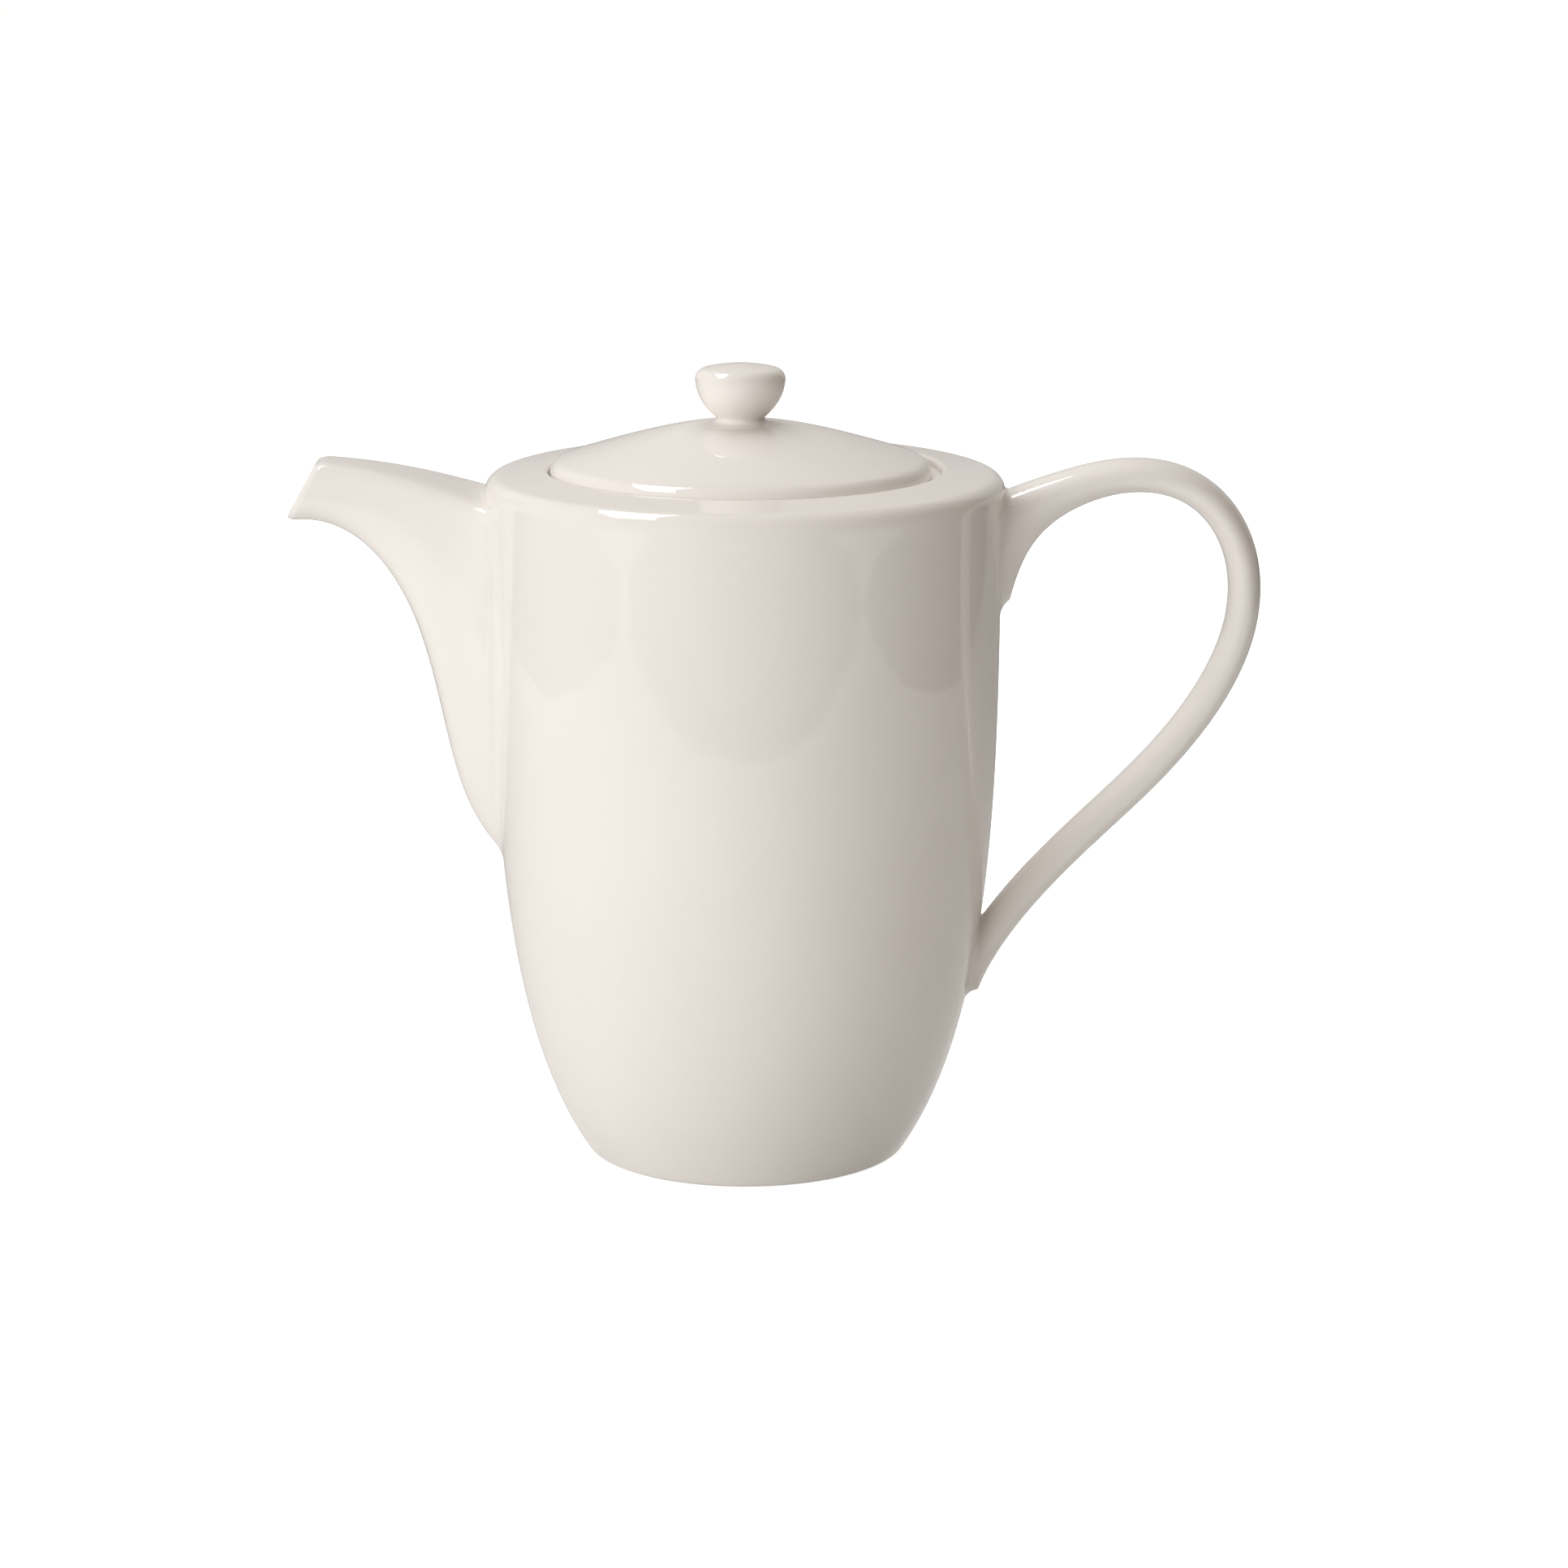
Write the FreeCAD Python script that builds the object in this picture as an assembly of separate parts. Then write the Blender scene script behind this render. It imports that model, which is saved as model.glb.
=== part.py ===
import FreeCAD, Part
import math
import os
from FreeCAD import Vector

# A porcelain coffee pot: a turned hollow body, a beak spout, a loop handle and a loose domed lid with a knob.
# Lengths are millimetres and angles are degrees. The origin is the middle of the foot ring on the table.
# +Z is up, +X points to the handle and -X to the spout.

# Pot body
pot_height = 171.0            # table to the inner edge of the top ring
wall_radius = 63.7            # outside radius at the corner of the shoulder
waist_inset = 3.78            # upper pole of the side curve, inside the wall radius
waist_drop = 31.0             # upper pole of the side curve, below the shoulder corner
belly_swell = 5.14            # lower pole of the side curve, outside the wall radius
belly_height = 41.7           # lower pole of the side curve, above the table
foot_radius = 39.0            # outside radius of the foot before its edge is rounded
foot_ring_width = 5.0         # width of the foot ring, rounded edge included
foot_recess = 2.5             # height of the hollow under the base
foot_round = 2.6              # outer edge of the foot
ring_slope = 7.0              # fall of the top ring from the lid out to the shoulder
shoulder_round = 3.6          # shoulder corner, outside and inside
body_wall = 4.0
base_thickness = 4.5
floor_round = 12.0            # inside, where the wall runs into the floor

# Seat of the lid in the top ring
seat_depth = 2.4              # ledge below the inner edge of the top ring
seat_round = 0.9              # upper edge of the seat
ledge_width = 5.6             # ledge that carries the lid
ledge_thickness = 4.0
ledge_round = 1.0             # inner edge of the ledge

# Lid
lid_radius = 46.4
lid_play = 1.4                # radial play between the lid and the wall of its seat
lid_side_gap = 0.3            # what is left of that play on the spout side, where the loose lid lies
rim_height = 4.3              # ledge up to the rim corner
rim_round = 1.7               # upper edge of the rim
rim_under_round = 0.8         # lower edge of the rim
dome_rise = 9.0               # rim corner up to the flat that carries the knob
dome_slope = 18.0             # slope of the dome at the rim
dome_shoulder = 11.0          # length along which the dome leaves the rim at that slope
dome_crown = 9.0              # length along which the dome leaves the knob flat
crown_fall = 0.3              # fall of the crown over that length
lid_wall = 3.6
collar_play = 1.4             # radial play between the collar and the neck
collar_depth = 8.0            # collar below the ledge
collar_wall = 3.4
collar_round = 1.2            # lower edges of the collar

# Knob of the lid
knob_height = 14.4            # lid flat up to the top of the crown
knob_radius = 11.0
knob_neck_radius = 5.9
knob_flare = 2.6              # foot of the knob, outside its neck
knob_foot_lip = 0.35          # upright edge of that foot
knob_neck_height = 1.4        # lid flat up to the neck
knob_bowl_height = 9.9        # neck up to the widest ring
knob_bowl_turn = 5.6          # pole of the bowl curve, below the widest ring
knob_crown_rise = 1.6         # middle of the crown above its edge
knob_rim_round = 1.8          # edge of the crown

# Spout, along a crest curve and a keel curve
spout_wall = 3.6              # at the root
lip_wall = 2.2                # at the mouth
lip_round = 0.7               # edges of the mouth
spout_root_depth = 15.65      # how far the form is carried on inside the wall radius
spout_root_width = 42.0       # at that depth
mouth_width = 16.5
root_fullness = 1.0           # 1 is an ellipse, more is squarer
mouth_fullness = 1.25
root_widest = 0.56            # where a section is widest, from keel to crest
mouth_widest = 0.62
chin_height = 62.0            # keel at the root, above the table
crest_drop = 8.4              # crest at the root, below the shoulder corner
mouth_reach = 40.0            # top of the mouth, outside the wall radius
mouth_rise = 4.55             # top of the mouth, above the shoulder corner
lip_reach = 48.5              # tip of the lower lip, outside the wall radius
lip_drop = 11.25              # tip of the lower lip, below the shoulder corner
spout_flare = 4.0             # how far each flank spreads where it runs into the wall
spout_flare_length = 3.0      # distance in which most of that spread is gone

# Inner poles of the crest and of the keel: distance outside the wall radius, then height.
# The chin poles stand above the chin, the others above the shoulder corner.
crest_poles = ((0.15, -1.05), (19.9, 3.55))
chin_poles = ((-11.45, 6.3), (8.9, 18.7))
throat_poles = ((12.3, -31.55), (33.7, -8.25))

# Handle, along a spine curve
handle_low = 42.9             # lower end of the spine, above the table
handle_drop = 11.15           # upper end of the spine, below the shoulder corner
handle_root_depth = 9.7       # how far the spine is carried on inside the wall radius
handle_thickness = 8.0        # across the loop, seen from the side
handle_width = 14.0           # along Y
handle_fullness = 1.1         # 1 is an ellipse, more is squarer
root_gusset = 27.0            # deepening under the upper root
root_gusset_length = 9.7      # distance in which most of that deepening is gone
heel = 0.7                    # thickening of the outer side at the lower root
heel_length = 9.0             # distance in which most of that thickening is gone
handle_flare = 4.0            # how far each side spreads where it runs into the wall
handle_flare_length = 3.5     # distance in which most of that spread is gone

# Inner poles of the spine: distance outside the wall radius, then height.
# The arch poles stand above the shoulder corner, the return poles above the lower end of the spine.
arch_poles = ((-2.9, -9.55), (28.3, 5.05), (55.2, -5.45), (62.35, -36.75))
return_poles = ((39.35, 52.0), (2.05, 22.6))

# Sizes that follow from those above
seat_radius = lid_radius + lid_play
neck_radius = seat_radius - ledge_width
collar_radius = neck_radius - collar_play
ledge_z = pot_height - seat_depth
ceiling_z = ledge_z - ledge_thickness
shoulder_z = pot_height - (wall_radius - seat_radius) * math.tan(math.radians(ring_slope))
rim_corner_z = ledge_z + rim_height
lid_flat_z = rim_corner_z + dome_rise
knob_foot_radius = knob_neck_radius + knob_flare
lid_shift = lid_side_gap - lid_play

ORIGIN = Vector(0, 0, 0)
Z_AXIS = Vector(0, 0, 1)
Y_AXIS = Vector(0, 1, 0)


def at(x, z):
    """Point of the XZ plane, where half sections and guide curves are drawn."""
    return Vector(x, 0, z)


def mix(start, end, share):
    return start + (end - start) * share


def outline(*corners):
    """Straight edges from corner to corner."""
    return [Part.makeLine(a, b) for a, b in zip(corners, corners[1:])]


def bezier(*poles):
    """Curved edge steered by its poles."""
    curve = Part.BezierCurve()
    curve.setPoles(list(poles))
    return curve.toShape()


def guide(poles):
    """Longer smooth curve steered by its poles, clamped at both ends, with a parameter from 0 to 1."""
    curve = Part.BSplineCurve()
    curve.buildFromPoles(poles)
    return curve


def turned(edges):
    """Solid of revolution about Z from the edges of a closed half section."""
    section = Part.Wire(Part.sortEdges(edges)[0])
    return Part.Face(section).revolve(ORIGIN, Z_AXIS, 360)


def round_ring(solid, corner, size):
    """Round the circular edge through one corner of the half section."""
    tolerance = 1e-4
    edges = [
        edge for edge in solid.Edges
        if not edge.Degenerated
        and isinstance(edge.Curve, Part.Circle)
        and abs(edge.Curve.Radius - corner.x) < tolerance
        and abs(edge.Curve.Center.z - corner.z) < tolerance
    ]
    return solid.makeFillet(size, edges)


def oval(middle, up, half_up, half_down, half_width, fullness):
    """Closed egg-shaped wire of four arcs in the plane of up and Y."""
    side = Y_AXIS * half_width
    ends = (side, up * half_up, side * -1, up * -half_down, side)
    arcs = []
    for start, end in zip(ends, ends[1:]):
        arc = Part.BezierCurve()
        arc.setPoles([middle + start, middle + start + end, middle + end])
        arc.setWeight(2, fullness * math.sqrt(0.5))
        arcs.append(arc.toShape())
    return Part.Wire(arcs)


def pot_side(inset, top, bottom):
    """Side of the pot as one curve from top to bottom, moved in by inset."""
    return bezier(
        top,
        at(wall_radius - waist_inset - inset, shoulder_z - waist_drop),
        at(wall_radius + belly_swell - inset, belly_height),
        bottom,
    )


def pot_outside():
    """The pot as a filled form."""
    shoulder = at(wall_radius, shoulder_z)
    foot = at(foot_radius, 0)
    edges = [pot_side(0, shoulder, foot)]
    edges += outline(foot, ORIGIN, at(0, pot_height), at(seat_radius, pot_height), shoulder)
    form = round_ring(turned(edges), shoulder, shoulder_round)
    return round_ring(form, foot, foot_round)


def pot_cavity():
    """The space for the coffee, up to the underside of the lid ledge."""
    floor_z = foot_recess + base_thickness
    shoulder = at(wall_radius - body_wall, ceiling_z)
    floor = at(foot_radius, floor_z)
    edges = [pot_side(body_wall, shoulder, floor)]
    edges += outline(floor, at(0, floor_z), at(0, ceiling_z), shoulder)
    form = round_ring(turned(edges), shoulder, shoulder_round)
    return round_ring(form, floor, floor_round)


def build_body(outside, channel):
    """The hollow pot with the seat of the lid, the foot ring and the way into the spout."""
    seat = Part.makeCylinder(seat_radius, seat_depth, at(0, ledge_z))
    neck = Part.makeCylinder(neck_radius, ledge_thickness, at(0, ceiling_z))
    foot_hollow = Part.makeCylinder(foot_radius - foot_ring_width, foot_recess)
    body = outside.cut([seat, neck, foot_hollow, pot_cavity()])
    body = round_ring(body, at(seat_radius, pot_height), seat_round)
    body = round_ring(body, at(neck_radius, ledge_z), ledge_round)
    return body.cut(channel)


def spout_form(root_inset=0, mouth_inset=0, flare=0):
    """The beak from inside the pot to its slanted mouth, made smaller all round by the insets."""
    root_x = spout_root_depth - wall_radius
    crest = guide(
        [at(root_x, shoulder_z - crest_drop)]
        + [at(-wall_radius - out, shoulder_z + height) for out, height in crest_poles]
        + [at(-wall_radius - mouth_reach, shoulder_z + mouth_rise)]
    )
    keel = guide(
        [at(root_x, chin_height)]
        + [at(-wall_radius - out, chin_height + height) for out, height in chin_poles]
        + [at(-wall_radius - out, shoulder_z + height) for out, height in throat_poles]
        + [at(-wall_radius - lip_reach, shoulder_z - lip_drop)]
    )
    sections = []
    for share in (0, 0.1, 0.17, 0.22, 0.27, 0.33, 0.4, 0.5, 0.62, 0.75, 0.88, 1):
        top = crest.value(share)
        low = keel.value(share)
        widest = low + (top - low) * mix(root_widest, mouth_widest, share)
        half_width = mix(spout_root_width, mouth_width, share) / 2
        wall_x = -math.sqrt(wall_radius ** 2 - half_width ** 2)
        spread = flare * math.exp(-max(wall_x - widest.x, 0) / spout_flare_length)
        inset = mix(root_inset, mouth_inset, share)
        sections.append(oval(
            widest,
            (top - low).normalize(),
            top.distanceToPoint(widest) - inset,
            low.distanceToPoint(widest) - inset,
            half_width + spread - inset,
            mix(root_fullness, mouth_fullness, share),
        ))
    return Part.makeLoft(sections, True)


def build_spout(outside, channel):
    """The hollow beak, cut to the wall of the pot, with a rounded mouth."""
    spout = spout_form(flare=spout_flare).cut([outside, channel])
    mouth = next(face for face in spout.Faces if isinstance(face.Surface, Part.Plane))
    return spout.makeFillet(lip_round, mouth.Edges)


def build_handle(outside):
    """The loop, cut to the wall of the pot at both roots."""
    root_x = wall_radius - handle_root_depth
    spine = guide(
        [at(root_x, shoulder_z - handle_drop)]
        + [at(wall_radius + out, shoulder_z + height) for out, height in arch_poles]
        + [at(wall_radius + out, handle_low + height) for out, height in return_poles]
        + [at(root_x, handle_low)]
    )
    length = spine.length()
    stations = 21
    sections = []
    for station in range(stations):
        share = station / (stations - 1)
        run = spine.length(0, share)
        gusset = root_gusset * math.exp(-run / root_gusset_length)
        thicker = heel * math.exp((run - length) / heel_length)
        spread = handle_flare * math.exp(-min(run, length - run) / handle_flare_length)
        sections.append(oval(
            spine.value(share),
            spine.tangent(share)[0].cross(Y_AXIS),
            handle_thickness / 2 + thicker,
            handle_thickness / 2 + gusset,
            handle_width / 2 + spread,
            handle_fullness,
        ))
    return Part.makeLoft(sections, True).cut(outside)


def dome_curve(rim, crown):
    """Curve of the lid's dome from its rim up to the edge of its flat crown."""
    slope = math.radians(dome_slope)
    leave = at(-math.cos(slope), math.sin(slope)) * dome_shoulder
    return bezier(rim, rim + leave, crown + at(dome_crown, -crown_fall), crown)


def build_lid():
    """Domed lid with a rim that lies on the ledge and a collar that drops into the neck."""
    flat = at(knob_foot_radius, lid_flat_z)
    rim = at(lid_radius, rim_corner_z)
    rim_under = at(lid_radius, ledge_z)
    collar_out = at(collar_radius, ledge_z - collar_depth)
    collar_in = at(collar_radius - collar_wall, collar_out.z)
    rise = (lid_radius - collar_in.x) * math.tan(math.radians(dome_slope))
    hollow_edge = at(collar_in.x, rim_corner_z + rise - lid_wall)
    hollow_top = at(flat.x, lid_flat_z - lid_wall)
    edges = [dome_curve(rim, flat), dome_curve(hollow_edge, hollow_top)]
    edges += outline(flat, at(0, flat.z), at(0, hollow_top.z), hollow_top)
    edges += outline(rim, rim_under, at(collar_radius, ledge_z), collar_out, collar_in, hollow_edge)
    lid = round_ring(turned(edges), rim, rim_round)
    lid = round_ring(lid, rim_under, rim_under_round)
    lid = round_ring(lid, collar_out, collar_round)
    return round_ring(lid, collar_in, collar_round)


def build_knob():
    """Turned knob: flared foot, neck, bowl and a low crown."""
    foot = at(knob_foot_radius, lid_flat_z)
    lip = foot + at(0, knob_foot_lip)
    neck = at(knob_neck_radius, lid_flat_z + knob_neck_height)
    bowl = at(knob_radius, neck.z + knob_bowl_height)
    rim = at(knob_radius, lid_flat_z + knob_height - knob_crown_rise)
    crown = at(0, lid_flat_z + knob_height)
    edges = [
        bezier(lip, at(neck.x, lip.z), neck),
        bezier(neck, bowl - at(0, knob_bowl_turn), bowl),
        bezier(rim, at(knob_radius / 2, crown.z), crown),
    ]
    edges += outline(bowl, rim)
    edges += outline(crown, at(0, foot.z), foot, lip)
    return round_ring(turned(edges), rim, knob_rim_round)


def main():
    outside = pot_outside()
    channel = spout_form(root_inset=spout_wall, mouth_inset=lip_wall)
    lid_rest = at(lid_shift, 0)
    nodes = {
        "pot_body": build_body(outside, channel),
        "spout": build_spout(outside, channel),
        "handle": build_handle(outside),
        "lid": build_lid().translated(lid_rest),
        "lid_knob": build_knob().translated(lid_rest),
    }
    os.makedirs("parts", exist_ok=True)
    for name, solid in nodes.items():
        solid.exportStep(f"parts/{name}.step")
        print(name, solid.isValid(), len(solid.Solids), round(solid.Volume), "mm3")


main()
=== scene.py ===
import math
import bmesh
import bpy
import numpy as np
from mathutils import Matrix, Vector


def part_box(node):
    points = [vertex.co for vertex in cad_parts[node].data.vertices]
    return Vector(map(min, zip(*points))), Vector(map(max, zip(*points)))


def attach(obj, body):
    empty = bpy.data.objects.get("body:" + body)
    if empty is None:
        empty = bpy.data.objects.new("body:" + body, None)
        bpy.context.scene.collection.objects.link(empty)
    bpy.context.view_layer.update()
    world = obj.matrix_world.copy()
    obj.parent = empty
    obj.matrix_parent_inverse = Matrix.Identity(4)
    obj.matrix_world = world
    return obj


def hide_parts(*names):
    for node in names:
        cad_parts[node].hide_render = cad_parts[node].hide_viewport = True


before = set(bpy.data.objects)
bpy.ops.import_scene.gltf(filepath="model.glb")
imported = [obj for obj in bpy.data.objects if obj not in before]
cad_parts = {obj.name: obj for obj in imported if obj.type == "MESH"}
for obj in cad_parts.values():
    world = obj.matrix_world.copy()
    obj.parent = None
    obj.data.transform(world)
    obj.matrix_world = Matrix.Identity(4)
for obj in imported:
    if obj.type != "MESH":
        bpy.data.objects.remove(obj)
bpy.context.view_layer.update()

# A glazed porcelain coffee pot. Lengths are millimetres until a mesh is made, and angles are degrees.
# The origin is the middle of the foot ring on the table, +Z is up and -X points to the spout.
MM = 0.001

# Pot body, as outlines of radius and height
pot_height = 171.0
wall_radius = 63.7
waist_inset = 3.78
waist_drop = 31.0
belly_swell = 5.14
belly_height = 41.7
foot_radius = 39.0
foot_ring_width = 5.0
foot_recess = 2.5
foot_round = 2.6
foot_edge_round = 0.9         # inner edge of the foot ring
foot_hollow_round = 1.2       # corner of the hollow under the base
ring_slope = 7.0
shoulder_round = 3.85
body_wall = 4.0
base_thickness = 4.5
floor_round = 12.0
seat_radius = 47.8
seat_depth = 2.4
seat_round = 1.2
seat_corner_round = 0.5       # where the wall of the seat meets the ledge
ledge_width = 5.6
ledge_thickness = 4.0
ledge_round = 1.0
ledge_under_round = 1.0       # lower edge of the ledge, inside the pot
ledge_z = pot_height - seat_depth
neck_radius = seat_radius - ledge_width
shoulder_z = pot_height - (wall_radius - seat_radius) * math.tan(math.radians(ring_slope))

# Lid and knob
lid_radius = 46.4
rim_height = 3.7
rim_round = 3.6
rim_under_round = 0.8
dome_rise = 9.6
dome_slope = 18.0
dome_shoulder = 11.0
dome_crown = 9.0
crown_fall = 0.3
crown_radius = 8.5
lid_wall = 3.6
collar_radius = 40.8
collar_depth = 8.0
collar_wall = 3.4
collar_round = 1.2
collar_corner_round = 0.4
rim_corner_z = ledge_z + rim_height
lid_flat_z = rim_corner_z + dome_rise
knob_height = 14.4
knob_radius = 11.0
knob_neck_radius = 5.9
knob_neck_height = 1.4
knob_bowl_height = 9.9
knob_bowl_turn = 5.6
knob_crown_rise = 1.6
knob_rim_round = 2.8
knob_foot_reach = 3.6         # how far the glaze runs out from the neck onto the lid

# Spout
spout_wall = 3.6
lip_wall = 2.2
spout_root_depth = 15.65
spout_root_width = 42.0
mouth_width = 16.5
root_flank_fullness = 1.0
mouth_flank_fullness = 1.25
root_top_fullness = 7.0       # above the widest line, where the beak is nearly flat
mouth_top_fullness = 4.2
root_top_depth = 10.0         # crest down to the widest line
mouth_top_depth = 7.5
chin_height = 62.0
crest_drop = 11.05            # lower than the plain solid's crest, as the flat top's far edge shows over it
mouth_reach = 40.0
mouth_rise = 4.20
lip_reach = 48.5
lip_drop = 11.25
spout_flare = 4.0
spout_flare_length = 3.0
crest_poles = ((0.15, -3.10), (19.9, 2.60))
chin_poles = ((-11.45, 6.3), (8.9, 18.7))
throat_poles = ((12.3, -31.55), (33.7, -8.25))

# Handle
handle_low = 42.9
handle_drop = 11.15
handle_root_depth = 9.7
handle_thickness = 7.98
handle_width = 14.0
handle_fullness = 1.1
root_gusset = 27.0
root_gusset_length = 9.7
heel = 0.7
heel_length = 9.0
handle_flare = 4.0
handle_flare_length = 3.5
arch_poles = ((-2.9, -9.55), (28.3, 5.05), (55.2, -5.45), (62.35, -36.75))
return_poles = ((39.35, 52.0), (2.05, 22.6))

# Soft roots, lips and small finishes of the ware
root_softness = 0.65          # how far a root's fillet is drawn into its corner; 1 is a parabola
skirt_depth = 0.6             # how far the end of a root goes on into the wall
spout_slide = 3.0             # most that the foot of a fillet slides along the wall
spout_fillet_reach = 4.0
upper_slide = 1.4
upper_fillet_reach = 2.6
lower_slide = 0.8
lower_fillet_reach = 2.4
lip_out_softness = 0.5
lip_in_softness = 0.8
throat_round = 0.8            # inner edge of the mouth
throat_share = 0.8            # most of the lip's flat face that this edge may take
channel_sink = 0.4            # depth under the wall's outside where the spout's channel begins
hole_share = 0.6              # share of the channel along which the pour hole is cut
lip_zone = 0.7                # share of a skin after which its lips are looked for
hollow_round = 2.0            # corner of the hollow under the lid
knob_sink = 0.5               # how far the knob's foot goes down into the lid
knob_sink_round = 0.1
knob_foot_round = 0.01
hole_edge_angle = 40.0        # sharper edges of the body stay sharp
wiped_height = 0.5            # the foot ring is bare up to here

# How finely the pieces are divided
curve_points = 240
arc_step = 7.0
least_arc_steps = 4
wall_step = 0.6
lathe_columns = 192
knob_columns = 128
hole_columns = 160
hole_rows = 60
spout_columns = 192
spout_rows = 120
channel_rows = 80
lip_out_rows = 11
lip_in_rows = 7
handle_columns = 112
handle_rows = 260
fillet_rows = 15
spine_ticks = 2001
search_steps = 160
search_halvings = 24
nudge = 1e-4                  # small step of share, for directions along a skin

# Glaze and bare porcelain; colours are linear and heights of bumps are metres
cloud_scale = 22.0
cloud_range = (0.3, 0.7)
glaze_low = (0.862, 0.826, 0.788, 1)
glaze_high = (0.878, 0.846, 0.814, 1)
speck_scale = 60.0
speck_size = 0.022            # as a share of a cell
speck_rarity = 0.86           # share of the cells that stay clear
speck_strength = 0.45
speck_color = (0.25, 0.21, 0.17, 1)
gloss_range = (0.01, 0.03)
wave_scale = 85.0
wave_height = 0.00005
glaze_ior = 1.5
grain_scale = 900.0
grain_height = 0.00008
grain_strength = 0.4
bare_low = (0.70, 0.66, 0.60, 1)
bare_high = (0.80, 0.77, 0.72, 1)
bare_roughness = 0.75

# Studio, in metres and watts; a glare is the brightness that a card shows in the glaze
upright = (0, 0, 1)
backward = (0, 1, 0)
overhead_place = (-0.12, 0.5, 1.15)
overhead_target = (0, 0, 0.15)
overhead_size = (0.9, 0.9)
overhead_power = 8.4
key_place = (-1.08, -1.22, 0.62)
key_target = (0, 0, 0.09)
key_size = (2.1, 1.5)
key_power = 25.6
softbox_place = (-0.50, 0.09, 1.13)
softbox_target = (0, 0, 0.15)
softbox_long_axis = (-0.38, -0.91, -0.13)
softbox_size = (0.30, 0.9)
softbox_color = (1, 1, 1, 1)
softbox_glare = 20.0
world_color = (1.0, 0.87, 0.72, 1)
world_strength = 0.225
floor_half = 12
floor_height = -0.0002        # just under the foot ring
floor_color = (0.8, 0.8, 0.8, 1)
floor_glow = 0.86
card_height = 0.0001
table_front = -0.46
table_side = 0.58
table_far = 5.0
table_color = (1, 0.97, 0.93, 1)
table_glare = 0.8
table_fall = (0.35, -0.05, 0.5)
room_color = (1, 0.92, 0.84, 1)
room_glare = 0.12
back_distance = 3
back_half_width = 3
back_half_height = 1.6
back_color = (1, 0.96, 0.92, 1)
back_glare = 0.52

# Camera, found from the photo: a long lens a little above the pot, square on to it
camera_place = (9.5, -1160.0, 355.0)
camera_pitch = 12.78
camera_lens = 110.57
camera_sensor = 36.0


def bezier(poles, count=curve_points):
    """Points along a Bezier curve."""
    t = np.linspace(0, 1, count)[:, None]
    last = len(poles) - 1
    return sum(
        math.comb(last, k) * t ** k * (1 - t) ** (last - k) * np.array(pole, float)
        for k, pole in enumerate(poles)
    )


def spline(poles, share):
    """Points of a clamped uniform cubic B-spline at shares from 0 to 1, for an array of any shape."""
    poles = np.array(poles, float)
    spans = len(poles) - 3
    knots = np.concatenate([np.zeros(3), np.linspace(0, 1, spans + 1), np.ones(3)])
    span = np.minimum((share * spans).astype(int), spans - 1) + 3
    points = [poles[span - 3 + k] for k in range(4)]
    for level in (1, 2, 3):
        for k in range(3, level - 1, -1):
            low = knots[span - 3 + k]
            high = knots[span + 1 + k - level]
            part = ((share - low) / (high - low))[..., None]
            points[k] = (1 - part) * points[k - 1] + part * points[k]
    return points[3]


def conic(start, corner, end, weight, count):
    """Rows of points from start to end, drawn towards corner; a weight of 1 is a parabola."""
    t = np.linspace(0, 1, count).reshape((count,) + (1,) * np.ndim(start))
    pull = 2 * t * (1 - t) * weight
    return ((1 - t) ** 2 * start + pull * corner + t ** 2 * end) / ((1 - t) ** 2 + pull + t ** 2)


def unit(vectors):
    return vectors / np.linalg.norm(vectors, axis=-1, keepdims=True)


def along(points, places):
    """Points at given distances along a polyline."""
    steps = np.linalg.norm(np.diff(points, axis=0), axis=1)
    run = np.concatenate([[0], np.cumsum(steps)])
    return np.stack([np.interp(places, run, column) for column in points.T], axis=1)


def outline(pieces, rounds, step=1.3):
    """One polyline from pieces that meet end to end, with a rounded corner where two of them meet."""
    pieces = [np.array(piece, float) for piece in pieces]
    reaches = []
    arcs = []
    for before, after, size in zip(pieces, pieces[1:], rounds):
        back = unit(before[-2] - before[-1])
        ahead = unit(after[1] - after[0])
        half = math.acos(np.clip(back @ ahead, -1, 1)) / 2
        reach = size / math.tan(half)
        start = along(before[::-1], [reach])[0]
        end = along(after, [reach])[0]
        turns = max(least_arc_steps, math.ceil((180 - 2 * math.degrees(half)) / arc_step))
        reaches.append(reach)
        arcs.append(conic(start, after[0], end, math.sin(half), turns + 1))
    points = []
    for k, piece in enumerate(pieces):
        length = np.linalg.norm(np.diff(piece, axis=0), axis=1).sum()
        first = reaches[k - 1] if k > 0 else 0
        last = length - (reaches[k] if k < len(reaches) else 0)
        count = max(2, math.ceil((last - first) / step) + 1)
        points.append(along(piece, np.linspace(first, last, count)))
        if k < len(arcs):
            points.append(arcs[k][1:-1])
    return np.concatenate(points)


def make_object(name, points, faces):
    """Smooth mesh object in metres from points in millimetres, with all its faces turned outwards."""
    mesh = bpy.data.meshes.new(name)
    mesh.from_pydata((np.asarray(points) * MM).tolist(), [], faces)
    work = bmesh.new()
    work.from_mesh(mesh)
    bmesh.ops.recalc_face_normals(work, faces=work.faces)
    work.to_mesh(mesh)
    work.free()
    mesh.shade_smooth()
    piece = bpy.data.objects.new(name, mesh)
    bpy.context.scene.collection.objects.link(piece)
    return piece


def ring_faces(rows, count, closed):
    """Quads between neighbouring rows of a tube, and from the last row to the first if it is closed."""
    faces = []
    for row in range(rows if closed else rows - 1):
        low = row * count
        high = (row + 1) % rows * count
        for k in range(count):
            after = (k + 1) % count
            faces.append((low + k, low + after, high + after, high + k))
    return faces


def capped_faces(rows, count):
    """Quads of an open tube, and one face over each of its ends."""
    first = tuple(range(count))
    last = tuple(rows * count - 1 - k for k in range(count))
    return ring_faces(rows, count, False) + [first, last]


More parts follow.
